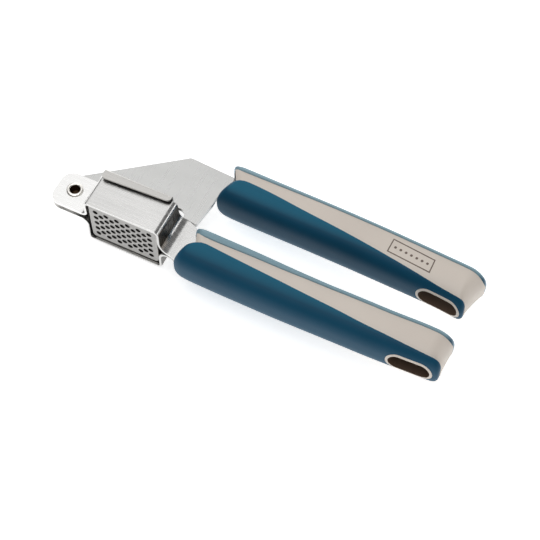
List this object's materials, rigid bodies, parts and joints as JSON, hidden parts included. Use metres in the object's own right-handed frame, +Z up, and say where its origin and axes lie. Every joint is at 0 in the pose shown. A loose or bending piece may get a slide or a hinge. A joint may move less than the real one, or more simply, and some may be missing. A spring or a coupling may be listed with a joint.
{
  "type": "garlic press",
  "caption": "Lever garlic press with a folded sheet-steel head, a drop-in perforated basket, a hinged plunger and two soft-grip handles with hang holes.",
  "frame": {"origin": "bottom centre of the whole press as it lies closed on its side", "axes": "+X along the handles, from the hinge towards the hang holes; +Y the way the plunger leaves the chamber; +Z up, along the hinge axis"},
  "size_m": [0.1942, 0.058, 0.033],
  "materials": {
    "brushed_steel": "brushed stainless sheet",
    "polished_steel": "polished stainless rivet",
    "sieve_steel": "pressed stainless sheet",
    "plunger_steel": "pressed stainless sheet",
    "beige_core": "satin moulded polypropylene",
    "blue_grip": "matt soft-touch elastomer"
  },
  "bodies": {
    "lower_lever": {"top_cheek": "brushed_steel", "bottom_cheek": "brushed_steel", "sieve_basket": "sieve_steel", "hinge_eyelet": "polished_steel", "lower_core": "beige_core", "lower_outer_grip": "blue_grip", "lower_inner_grip": "blue_grip", "lower_dowel_front": "polished_steel", "lower_dowel_rear": "polished_steel"},
    "upper_lever": {"press_plate": "brushed_steel", "upper_core": "beige_core", "upper_inner_grip": "blue_grip", "upper_outer_grip": "blue_grip", "upper_dowel_front": "polished_steel", "upper_dowel_rear": "polished_steel"},
    "plunger": {"plunger_face": "plunger_steel", "plunger_bracket": "plunger_steel", "plunger_pin": "polished_steel"}
  },
  "joints": [
    {"name": "lever_open", "type": "hinge", "parent": "lower_lever", "child": "upper_lever", "pos_m": [-0.0885, -0.01211, 0.0165], "axis": [0, 0, 1], "range_deg": [0, 110]},
    {"name": "plunger_swing", "type": "hinge", "parent": "upper_lever", "child": "plunger", "pos_m": [-0.0585, -0.01471, 0.0165], "axis": [0, 0, 1], "range_deg": [-33, 0]}
  ],
  "couplings": [
    {"joint": "plunger_swing", "follows": "lever_open", "ratio": -0.3}
  ]
}
